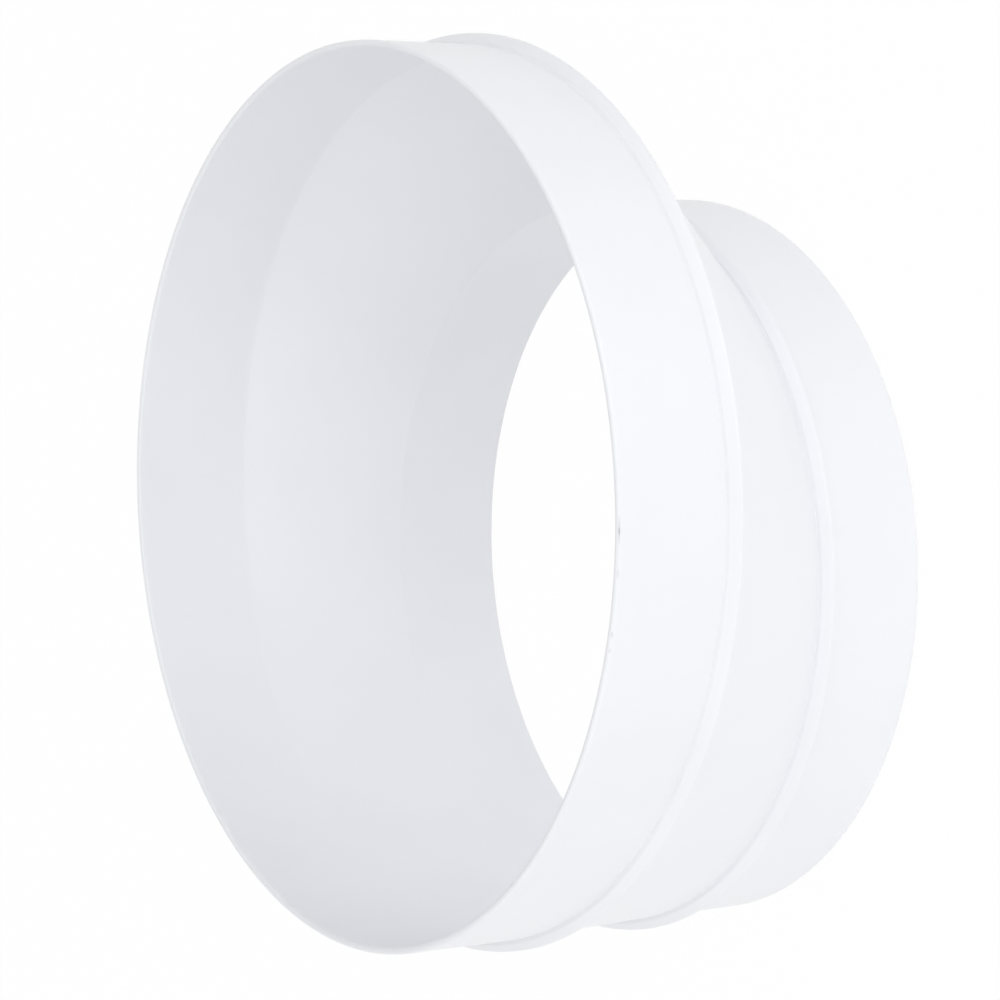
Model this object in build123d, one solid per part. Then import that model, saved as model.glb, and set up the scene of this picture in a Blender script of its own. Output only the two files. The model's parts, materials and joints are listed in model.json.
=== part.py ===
from build123d import *
import os

# Eccentric duct reducer, moulded in one piece of white plastic.
# It stands on its small mouth with the large mouth up, as it does on a bench.
# Z runs along the duct. The origin is on the large spigot's axis, at the level of the small rim.
# All lengths are in millimetres.

# Driving dimensions
LARGE_OUTER_DIAMETER = 149.0  # slides into a 150 mm duct
SMALL_OUTER_DIAMETER = 124.0  # slides into a 125 mm duct
OVERALL_LENGTH = 70.0
LARGE_SPIGOT_LENGTH = 19.8  # straight wall from the rim to the stop bead
SMALL_SPIGOT_LENGTH = 19.0
WALL = 1.2
BEAD_WIDTH = 1.9  # at the foot
BEAD_HEIGHT = 1.9  # how far a stop bead stands out from its spigot
BEAD_CREST = 0.4  # width of the flat on top
RIM_CHAMFER = 0.3  # lead-in on both edges of each mouth

# Worked out from the dimensions above
large_radius = LARGE_OUTER_DIAMETER / 2
small_radius = SMALL_OUTER_DIAMETER / 2
# The offset brings both spigots into line along the -X side, which stays straight.
eccentricity = large_radius - small_radius
cone_top = OVERALL_LENGTH - LARGE_SPIGOT_LENGTH - BEAD_WIDTH
cone_bottom = SMALL_SPIGOT_LENGTH + BEAD_WIDTH
large_axis = Pos(0, 0)
small_axis = Pos(-eccentricity, 0)


def spigot_section(radius, length, slope_first):
    """Half section of a spigot and its bead: X is the radius, Y the distance from the mouth.

    The bead slopes on the mouth's side where slope_first is true, and on the cone's side otherwise.
    """
    inside = radius - WALL
    crest = radius + BEAD_HEIGHT
    depth = length + BEAD_WIDTH
    crest_start = depth - BEAD_CREST if slope_first else length
    outline = Polyline(
        (inside, 0), (radius, 0), (radius, length),
        (crest, crest_start), (crest, crest_start + BEAD_CREST),
        (radius, depth), (inside, depth), close=True,
    )
    section = make_face(outline)
    rim = section.vertices().group_by(Axis.Y)[0]
    return chamfer(rim, RIM_CHAMFER)


def spigot(radius, length, slope_first):
    """A spigot about the Z axis, with its mouth on the XY plane and its bead above."""
    return revolve(Plane.XZ * spigot_section(radius, length, slope_first), axis=Axis.Z)


def cone(inset):
    """The slanted cone between the beads, drawn in from its outer face by the inset."""
    bottom = small_axis * Pos(0, 0, cone_bottom) * Circle(small_radius - inset)
    top = large_axis * Pos(0, 0, cone_top) * Circle(large_radius - inset)
    return loft([bottom, top], ruled=True)


# The large end hangs mouth up, the small end stands mouth down, and the cone joins them.
# Both beads slope towards the large mouth.
large_end = spigot(large_radius, LARGE_SPIGOT_LENGTH, slope_first=True)
large_end = large_axis * Pos(0, 0, OVERALL_LENGTH) * Rot(180, 0, 0) * large_end
small_end = small_axis * spigot(small_radius, SMALL_SPIGOT_LENGTH, slope_first=False)
reducer_body = large_end + (cone(0) - cone(WALL)) + small_end

os.makedirs("parts", exist_ok=True)
export_step(reducer_body, "parts/reducer_body.step")
print("solids", len(reducer_body.solids()), "volume", round(reducer_body.volume, 1))
print("box", reducer_body.bounding_box())
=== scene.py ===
# %% [markdown]
# # An eccentric duct reducer in white moulded plastic
# The real object is one thin-walled moulding: a large spigot, a slanted cone and a small spigot,
# with a stop bead where each spigot meets the cone. It stands here on its small mouth.
# The lesson loads the measured model as a fixed frame and sets the camera. Then it draws the moulding
# again as one clean mesh, gives it its plastic and its marks, and adds the floor and the light.

# %% Load the frame
import json
import math

import bpy
from mathutils import Matrix, Vector


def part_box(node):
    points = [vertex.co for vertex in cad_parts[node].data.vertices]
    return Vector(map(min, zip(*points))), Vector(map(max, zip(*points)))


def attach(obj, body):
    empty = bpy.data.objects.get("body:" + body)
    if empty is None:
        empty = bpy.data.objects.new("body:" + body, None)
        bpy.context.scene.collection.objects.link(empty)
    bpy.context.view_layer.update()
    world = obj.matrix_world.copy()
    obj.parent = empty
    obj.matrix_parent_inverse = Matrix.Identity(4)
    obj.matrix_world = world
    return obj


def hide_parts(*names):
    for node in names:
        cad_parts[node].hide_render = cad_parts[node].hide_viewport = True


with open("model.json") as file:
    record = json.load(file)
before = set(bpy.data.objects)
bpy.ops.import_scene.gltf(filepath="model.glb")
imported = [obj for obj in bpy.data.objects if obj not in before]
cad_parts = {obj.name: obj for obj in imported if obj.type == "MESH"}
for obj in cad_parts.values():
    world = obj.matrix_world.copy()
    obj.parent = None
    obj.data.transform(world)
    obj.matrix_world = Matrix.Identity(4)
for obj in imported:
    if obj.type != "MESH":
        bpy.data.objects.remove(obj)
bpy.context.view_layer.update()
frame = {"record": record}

MM = 0.001  # Blender's unit here is the metre


# %% [markdown]
# ## The camera
# The photograph looks into the large mouth, with the duct lying across the picture.
# The part stands upright here, so the camera stands above it, looks down into the mouth and is
# turned on its side: the part's +X direction is nearly up in the picture.
# A Track To constraint could aim it, but a constraint always keeps the horizon level. Building the
# three axes of the camera by hand shows what the roll does and leaves it free.

# %% Camera
LENS_MM = 121.14  # on Blender's 36 mm sensor
CAMERA_PLACE = Vector((0.0899, -0.4616, 0.3575))
CAMERA_AIM = Vector((-0.0018, 0.0022, 0.0388))
UP_IN_PICTURE = Vector((1.0, 0.0, 0.0))
CAMERA_ROLL = math.radians(-3.74)  # how far the part's +X leans from straight up


def camera_axes(place, aim, up, roll):
    """The camera's matrix: it looks from place to aim, with up near the top of the picture."""
    forward = (aim - place).normalized()
    upward = (up - up.dot(forward) * forward).normalized()
    upward = Matrix.Rotation(roll, 3, forward) @ upward
    right = forward.cross(upward)
    turn = Matrix((right, upward, -forward)).transposed()
    return Matrix.Translation(place) @ turn.to_4x4()


camera = bpy.data.objects.new("camera", bpy.data.cameras.new("camera"))
bpy.context.scene.collection.objects.link(camera)
camera.data.lens = LENS_MM
camera.matrix_world = camera_axes(CAMERA_PLACE, CAMERA_AIM, UP_IN_PICTURE, CAMERA_ROLL)
bpy.context.scene.camera = camera
print("camera is", round((CAMERA_AIM - CAMERA_PLACE).length, 3), "m from the part")

# %% [markdown]
# ## Sizes of the moulding
# The main sizes come from the frame, so that the new mesh lies exactly where the measured model is:
# the spigots' radii and axes are its mounts, and the bead's height is what its box has left over.
# The wall, the rim's edge and the bead's width and crest are written as in the measured model.

# %% Sizes
mounts = {mount["name"]: mount for mount in frame["record"]["mounts"]}
low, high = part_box("reducer_body")
large_radius = mounts["large_spigot"]["dims"]["r_mm"] * MM
small_radius = mounts["small_spigot"]["dims"]["r_mm"] * MM
large_axis_x = mounts["large_spigot"]["pos_m"][0]
small_axis_x = mounts["small_spigot"]["pos_m"][0]
bead_height = high.x - large_radius

WALL = 1.2 * MM
RIM_EDGE = 0.3 * MM  # lead-in at a mouth, which the length of its mount leaves out
BEAD_WIDTH = 1.9 * MM  # at the foot
BEAD_CREST = 0.4 * MM  # width of the flat on top, before it is rounded
large_bead_top = high.z - mounts["large_spigot"]["dims"]["length_mm"] * MM - RIM_EDGE
small_bead_foot = mounts["small_spigot"]["dims"]["length_mm"] * MM + RIM_EDGE
cone_top = large_bead_top - BEAD_WIDTH
cone_foot = small_bead_foot + BEAD_WIDTH
print("offset of the axes in mm:", round((large_axis_x - small_axis_x) / MM, 2))
print("cone between", round(cone_foot / MM, 2), "and", round(cone_top / MM, 2), "mm")

# %% [markdown]
# ## The section
# Every level of the moulding is a circle, but the circles' centres move sideways down the cone.
# A plain Screw or Spin around one axis can't do that. So a section point here has three numbers:
# the X of its circle's centre, the circle's radius and its height. The corners of the section go
# down the outside, round the small rim, up the inside and back over the large rim.
# Each corner also says how far it is rounded, because a moulding has no knife edges.
# A stop bead is the little ring that a duct butts against. Its upper side is a slope, steep at the
# foot and then easing off over the crest, so it shows as a bright band behind a thin dark line.
# Its lower side is a plain step. A half circle would be simpler, but its steep side would be a wide
# dark band instead.

# %% Corners of the section
RIM_ROUND = 0.58 * MM
ROOT_ROUND = 0.12 * MM
SHOULDER_HEIGHT = 0.65 * MM  # where a bead's slope, steep at its foot, eases off
SHOULDER_SETBACK = 0.2 * MM
SHOULDER_ROUND = 0.7 * MM
CREST_ROUND = 0.6 * MM
STEP_ROUND = 0.15 * MM
CREASE_ROUND = 1.5 * MM


def bead(axis_x, radius, foot, step):
    """Corners of a stop bead, from the foot of its slope over the crest and down its steep side."""
    crest = radius + bead_height
    return [
        ((axis_x, radius, foot), ROOT_ROUND),
        ((axis_x, radius + SHOULDER_HEIGHT, foot - SHOULDER_SETBACK), SHOULDER_ROUND),
        ((axis_x, crest, step + BEAD_CREST), CREST_ROUND),
        ((axis_x, crest, step), STEP_ROUND),
        ((axis_x, radius, step), STEP_ROUND),
    ]


def spigot_inside(axis_x, radius, rim, crease):
    """Corners from a rim along the inside of its spigot to the crease where the cone starts."""
    return [
        ((axis_x, radius - WALL, rim), RIM_ROUND),
        ((axis_x, radius - WALL, crease), CREASE_ROUND),
    ]


corners = [((large_axis_x, large_radius, high.z), RIM_ROUND)]
corners += bead(large_axis_x, large_radius, large_bead_top, cone_top)
corners += bead(small_axis_x, small_radius, cone_foot, small_bead_foot)
corners.append(((small_axis_x, small_radius, low.z), RIM_ROUND))
corners += spigot_inside(small_axis_x, small_radius, low.z, cone_foot)
corners += reversed(spigot_inside(large_axis_x, large_radius, high.z, cone_top))
print("section has", len(corners), "corners")

# %% [markdown]
# ## Rounding the corners
# Each corner becomes an arc that touches its two runs. The arc starts where a circle of the given
# radius first touches the run, which is the radius times the tangent of half the turn away.
# A Bevel modifier could round the finished mesh, but every ring of edges would need its own weight.
# Rounding the section first keeps all the radii in one list.
# The straight runs get points too, close together near their ends: smooth shading blends normals
# from point to point, and these points keep the blend inside the rounding.

# %% Round the section
ARC_STEPS = 6
RUN_STEP = 4 * MM  # about how far apart points may be on a long run
MIN_RUN_STEPS = 3


def rounded_corner(before, corner, after, radius):
    """Points of the arc that rounds one corner."""
    to_before = (before - corner).normalized()
    to_after = (after - corner).normalized()
    turn = math.pi - to_before.angle(to_after)
    reach = radius * math.tan(turn / 2)
    centre = corner + (to_before + to_after).normalized() * radius / math.cos(turn / 2)
    start = corner + to_before * reach - centre
    end = corner + to_after * reach - centre
    shares = [step / ARC_STEPS for step in range(ARC_STEPS + 1)]
    return [
        centre + (start * math.sin((1 - s) * turn) + end * math.sin(s * turn)) / math.sin(turn)
        for s in shares
    ]


def run_between(start, end):
    """Points inside a straight run, closer together near its ends."""
    steps = max(MIN_RUN_STEPS, math.ceil((end - start).length / RUN_STEP))
    shares = [(1 - math.cos(math.pi * step / steps)) / 2 for step in range(1, steps)]
    return [start.lerp(end, share) for share in shares]


def round_section(corners):
    """The closed section as one list of points."""
    places = [Vector(place) for place, _ in corners]
    arcs = []
    for index, (_, radius) in enumerate(corners):
        after = places[(index + 1) % len(places)]
        arcs.append(rounded_corner(places[index - 1], places[index], after, radius))
    points = []
    for arc, next_arc in zip(arcs, arcs[1:] + arcs[:1]):
        points += arc
        points += run_between(arc[-1], next_arc[0])
    return points


section = round_section(corners)
print("rounded section has", len(section), "points")

# %% [markdown]
# ## Rings into a skin
# Every section point becomes a ring of vertices about its own centre, and neighbouring rings are
# joined by quads. The last ring joins the first, so the skin is closed and has a real inside.
# The quads run along the duct and around it, which shades more smoothly than the triangles of a
# converted solid.

# %% Build the moulding
RING_STEPS = 384


def ring(point):
    """One circle of vertices: the point holds its centre's X, its radius and its height."""
    centre_x, radius, level = point
    angles = [2 * math.pi * step / RING_STEPS for step in range(RING_STEPS)]
    return [(centre_x + radius * math.cos(a), radius * math.sin(a), level) for a in angles]


def skin_of_rings(name, section):
    """A closed mesh of quads through one ring for each section point."""
    vertices = [vertex for point in section for vertex in ring(point)]
    faces = []
    for row in range(len(section)):
        here = row * RING_STEPS
        there = (row + 1) % len(section) * RING_STEPS
        for step in range(RING_STEPS):
            beside = (step + 1) % RING_STEPS
            faces.append((here + step, there + step, there + beside, here + beside))
    mesh = bpy.data.meshes.new(name)
    mesh.from_pydata(vertices, [], faces)
    mesh.shade_smooth()
    piece = bpy.data.objects.new(name, mesh)
    bpy.context.scene.collection.objects.link(piece)
    return piece


moulding = skin_of_rings("moulded_reducer", section)
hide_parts("reducer_body")
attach(moulding, "root")
print("moulding has", len(moulding.data.polygons), "quads")

# %% [markdown]
# ## The plastic
# The wall is white plastic straight from a polished mould: a cool white, satin, and very even.
# A flat colour would do for one picture, but it looks like paper as soon as a lamp moves.
# So two noises in the part's own coordinates carry the finish. Wide clouds shift the white by a
# hair, as the melt does when it cools. A fine grain makes the gloss uneven and lifts the skin by
# a few thousandths of a millimetre, which breaks up the highlights.
# A few small helpers come first, because every material below is made of the same kinds of nodes.

# %% Helpers for shader nodes
MIX_FROM, MIX_TO, MIX_RESULT = 6, 7, 2  # a Mix node's colour sockets, which share names with others


def node_in(tree, kind, **settings):
    """A node of one kind, with its plain settings."""
    node = tree.nodes.new(kind)
    for name, value in settings.items():
        setattr(node, name, value)
    return node


def noise_of(tree, place, size, detail):
    """A noise in the part's own coordinates, with patches of about the given size."""
    noise = node_in(tree, "ShaderNodeTexNoise")
    noise.inputs["Scale"].default_value = 1 / size
    noise.inputs["Detail"].default_value = detail
    tree.links.new(place, noise.inputs["Vector"])
    return noise.outputs["Fac"]


def ranged(tree, value, old_range, new_range):
    """A value moved from one range to another, and held inside it."""
    ranging = node_in(tree, "ShaderNodeMapRange")
    tree.links.new(value, ranging.inputs["Value"])
    for socket, bound in zip(("From Min", "From Max", "To Min", "To Max"), old_range + new_range):
        ranging.inputs[socket].default_value = bound
    return ranging.outputs["Result"]


def blended(tree, share, first, second):
    """A colour blended from first to second; first is a colour or a socket, second a colour."""
    blend = node_in(tree, "ShaderNodeMix", data_type="RGBA")
    tree.links.new(share, blend.inputs["Factor"])
    if isinstance(first, tuple):
        blend.inputs[MIX_FROM].default_value = first
    else:
        tree.links.new(first, blend.inputs[MIX_FROM])
    blend.inputs[MIX_TO].default_value = second
    return blend.outputs[MIX_RESULT]


print("node helpers ready")

# %% White plastic
PLASTIC_WHITE = (0.886, 0.893, 0.922, 1.0)
PLASTIC_DULL = (0.874, 0.881, 0.91, 1.0)
CLOUD_SIZE = 25 * MM
CLOUD_DETAIL = 2.0
CLOUD_RANGE = (0.35, 0.65)  # the part of the noise that goes from white to dull
GRAIN_SIZE = 0.4 * MM
GRAIN_DETAIL = 3.0
GRAIN_RANGE = (0.3, 0.7)  # the part of the noise that goes from glossy to dull
GRAIN_HEIGHT = 0.004 * MM
GRAIN_ROUGHNESS = (0.37, 0.47)  # of a glossy spot and of a dull one

plastic = bpy.data.materials.new("satin_white_plastic")
plastic.use_nodes = True
plastic_tree = plastic.node_tree
plastic_shader = plastic_tree.nodes["Principled BSDF"]
part_place = node_in(plastic_tree, "ShaderNodeTexCoord").outputs["Object"]

cloud_noise = noise_of(plastic_tree, part_place, CLOUD_SIZE, CLOUD_DETAIL)
clouds = ranged(plastic_tree, cloud_noise, CLOUD_RANGE, (0.0, 1.0))
clouded_white = blended(plastic_tree, clouds, PLASTIC_WHITE, PLASTIC_DULL)
plastic_tree.links.new(clouded_white, plastic_shader.inputs["Base Color"])

grain = noise_of(plastic_tree, part_place, GRAIN_SIZE, GRAIN_DETAIL)
roughness = ranged(plastic_tree, grain, GRAIN_RANGE, GRAIN_ROUGHNESS)
plastic_tree.links.new(roughness, plastic_shader.inputs["Roughness"])
skin = node_in(plastic_tree, "ShaderNodeBump")
skin.inputs["Distance"].default_value = GRAIN_HEIGHT
plastic_tree.links.new(grain, skin.inputs["Height"])
plastic_tree.links.new(skin.outputs["Normal"], plastic_shader.inputs["Normal"])

moulding.data.materials.append(plastic)
print("plastic has", len(plastic_tree.nodes), "nodes")

# %% [markdown]
# ## Marks on the large rim
# The edge of the large mouth has a few small grey marks, where the part has rubbed against
# something: one short scratch with a dark middle, and three faint blots beside it.
# A painted image could hold them, but it would need an unwrapped mesh.
# A mark here is a small ellipsoid around a point of the rim's rounded edge. A Mapping node of the
# Texture kind moves, turns and shrinks a place on the part into the ellipsoid's own space, where the
# distance to the middle is 0 at its centre and 1 at its edge. The grey fades out in between.

# %% Marks on the rim
MARK_GREY = (0.3, 0.3, 0.31, 1.0)
MARK_HALF_WIDTH = 0.2 * MM
MARK_DROP = 0.22 * MM  # below the top of the rim
MARK_INSET = 0.13 * MM  # in from the spigot's outer face
MARK_FADE = (0.3, 1.0)  # share of the way from centre to edge over which a mark fades out
RIM_MARKS = {  # angle around the large axis in degrees, half length, strength
    "scratch": (-83.9, 2.6 * MM, 0.32),
    "scratch_middle": (-83.95, 0.7 * MM, 0.45),
    "near_blot": (-88.8, 0.9 * MM, 0.18),
    "middle_blot": (-95.8, 0.6 * MM, 0.22),
    "far_blot": (-97.75, 0.5 * MM, 0.2),
}


def rim_mark(tree, place, angle, half_length, strength):
    """How much of one mark shows at a place on the part."""
    turn = math.radians(angle)
    radius = large_radius - MARK_INSET
    centre = (large_axis_x + radius * math.cos(turn), radius * math.sin(turn), high.z - MARK_DROP)
    inside_mark = node_in(tree, "ShaderNodeMapping", vector_type="TEXTURE")
    tree.links.new(place, inside_mark.inputs["Vector"])
    inside_mark.inputs["Location"].default_value = centre
    inside_mark.inputs["Rotation"].default_value = (0.0, 0.0, turn)
    inside_mark.inputs["Scale"].default_value = (MARK_HALF_WIDTH, half_length, MARK_HALF_WIDTH)
    distance = node_in(tree, "ShaderNodeVectorMath", operation="LENGTH")
    tree.links.new(inside_mark.outputs["Vector"], distance.inputs[0])
    return ranged(tree, distance.outputs["Value"], MARK_FADE, (strength, 0.0))


marked_white = clouded_white
for angle, half_length, strength in RIM_MARKS.values():
    mark = rim_mark(plastic_tree, part_place, angle, half_length, strength)
    marked_white = blended(plastic_tree, mark, marked_white, MARK_GREY)
plastic_tree.links.new(marked_white, plastic_shader.inputs["Base Color"])
print("marks on the rim:", ", ".join(RIM_MARKS))

# %% [markdown]
# ## The floor
# A small product is often shot on a light table: a white sheet that also lets light through from
# below. That fits here, because the lower side and the inside of the part are nearly as bright as
# the rest, and an opaque floor would leave them dark. The sheet is a Diffuse shader mixed with a
# Translucent one. The background itself is clean white, so rays that show it see a plain white
# emission with a share of the lit sheet, which keeps the part's soft shadow. All other rays see
# only the lit sheet, so the white adds no light to the part.

# %% Helpers for the background
WHITE = (1.0, 1.0, 1.0, 1.0)


def background_rays(tree):
    """A socket that is 1 for rays that show the background, seen straight, mirrored or through glass."""
    rays = node_in(tree, "ShaderNodeLightPath")
    shown = rays.outputs["Is Camera Ray"]
    for kind in ("Is Glossy Ray", "Is Transmission Ray"):
        either = node_in(tree, "ShaderNodeMath", operation="MAXIMUM")
        tree.links.new(shown, either.inputs[0])
        tree.links.new(rays.outputs[kind], either.inputs[1])
        shown = either.outputs[0]
    return shown


def coloured(tree, kind, colour):
    """A shader of one kind in one colour."""
    shader = node_in(tree, kind)
    shader.inputs["Color"].default_value = colour
    return shader


def mixed(tree, share, first, second):
    """Two shaders mixed: share is a number or a socket, 0 is all first and 1 all second."""
    mix = node_in(tree, "ShaderNodeMixShader")
    if isinstance(share, float):
        mix.inputs[0].default_value = share
    else:
        tree.links.new(share, mix.inputs[0])
    tree.links.new(first.outputs[0], mix.inputs[1])
    tree.links.new(second.outputs[0], mix.inputs[2])
    return mix


print("background helpers ready")

# %% Floor
FLOOR_HALF = 3.0
SHEET_WHITE = (0.92, 0.92, 0.92, 1.0)
LIGHT_THROUGH = 0.6  # share of the sheet's light that comes through from below
SHADOW_SHARE = 0.05  # how much of the lit sheet shows in the white background

sheet = bpy.data.materials.new("light_table")
sheet.use_nodes = True
sheet_tree = sheet.node_tree
sheet_tree.nodes.clear()
top_light = coloured(sheet_tree, "ShaderNodeBsdfDiffuse", SHEET_WHITE)
through_light = coloured(sheet_tree, "ShaderNodeBsdfTranslucent", SHEET_WHITE)
lit_sheet = mixed(sheet_tree, LIGHT_THROUGH, top_light, through_light)
plain_white = coloured(sheet_tree, "ShaderNodeEmission", WHITE)
clean_sheet = mixed(sheet_tree, 1 - SHADOW_SHARE, lit_sheet, plain_white)
shown_sheet = mixed(sheet_tree, background_rays(sheet_tree), lit_sheet, clean_sheet)
sheet_output = node_in(sheet_tree, "ShaderNodeOutputMaterial")
sheet_tree.links.new(shown_sheet.outputs[0], sheet_output.inputs["Surface"])

sides = (-FLOOR_HALF, FLOOR_HALF)
floor_corners = [(x, y, low.z) for x in sides for y in sides]
corners_in_turn = (0, 2, 3, 1)  # anticlockwise from above, so that the floor faces up
floor_mesh = bpy.data.meshes.new("floor")
floor_mesh.from_pydata(floor_corners, [], [corners_in_turn])
floor_mesh.materials.append(sheet)
floor = bpy.data.objects.new("floor", floor_mesh)
bpy.context.scene.collection.objects.link(floor)
print("light table is", 2 * FLOOR_HALF, "m wide")

# %% [markdown]
# ## The light
# The shading is soft everywhere: the outside is brightest where it faces the front, the rims a
# little darker, and the far wall inside the large mouth the darkest. One big lamp would give that
# with a harder edge. A dome of light that fades from straight above to the horizon fills the
# mouths instead, and soft boxes low around the front, with one higher at the side, light the wall.
# A last box under the light table shines up through its sheet.
# The dome is the world's own strength: the upward part of each ray's direction, held above zero.

# %% World
DOME_LEVEL = 0.95  # strength straight above

world = bpy.data.worlds.new("studio")
bpy.context.scene.world = world
world.use_nodes = True
world_tree = world.node_tree
world_tree.nodes.clear()
ray_direction = node_in(world_tree, "ShaderNodeTexCoord").outputs["Generated"]
parts_of_ray = node_in(world_tree, "ShaderNodeSeparateXYZ")
world_tree.links.new(ray_direction, parts_of_ray.inputs[0])
dome_strength = ranged(world_tree, parts_of_ray.outputs["Z"], (0.0, 1.0), (0.0, DOME_LEVEL))
dome = coloured(world_tree, "ShaderNodeBackground", WHITE)
world_tree.links.new(dome_strength, dome.inputs["Strength"])
white_backdrop = coloured(world_tree, "ShaderNodeBackground", WHITE)
shown_world = mixed(world_tree, background_rays(world_tree), dome, white_backdrop)
world_output = node_in(world_tree, "ShaderNodeOutputWorld")
world_tree.links.new(shown_world.outputs[0], world_output.inputs["Surface"])
print("dome strength above", DOME_LEVEL)

# %% Soft boxes
BOX_SIZE = 0.9
BOX_DISTANCE = 1.2
SOFT_BOXES = {  # angle around the part and above the floor in degrees, watts
    "left_box": (180, 12, 3.05),
    "front_left_box": (240, 12, 3.05),
    "front_right_box": (300, 12, 4.0),
    "high_side_box": (330, 38, 2.45),
    "table_box": (0, -90, 1.55),
}
part_middle = (low + high) / 2


def soft_box(name, around, above, power):
    """A square area lamp that looks at the part from the direction of two angles."""
    around, above = math.radians(around), math.radians(above)
    level = math.cos(above)
    direction = Vector((level * math.cos(around), level * math.sin(around), math.sin(above)))
    lamp = bpy.data.objects.new(name, bpy.data.lights.new(name, "AREA"))
    bpy.context.scene.collection.objects.link(lamp)
    lamp.data.size = BOX_SIZE
    lamp.data.energy = power
    lamp.location = part_middle + BOX_DISTANCE * direction
    lamp.rotation_euler = direction.to_track_quat("Z", "Y").to_euler()


for name, (around, above, power) in SOFT_BOXES.items():
    soft_box(name, around, above, power)
print("soft boxes:", ", ".join(SOFT_BOXES))

# %% [markdown]
# ## Finish
# The view transform is Standard, so a colour shows as it is written.

# %% Finish
bpy.context.scene.view_settings.view_transform = "Standard"
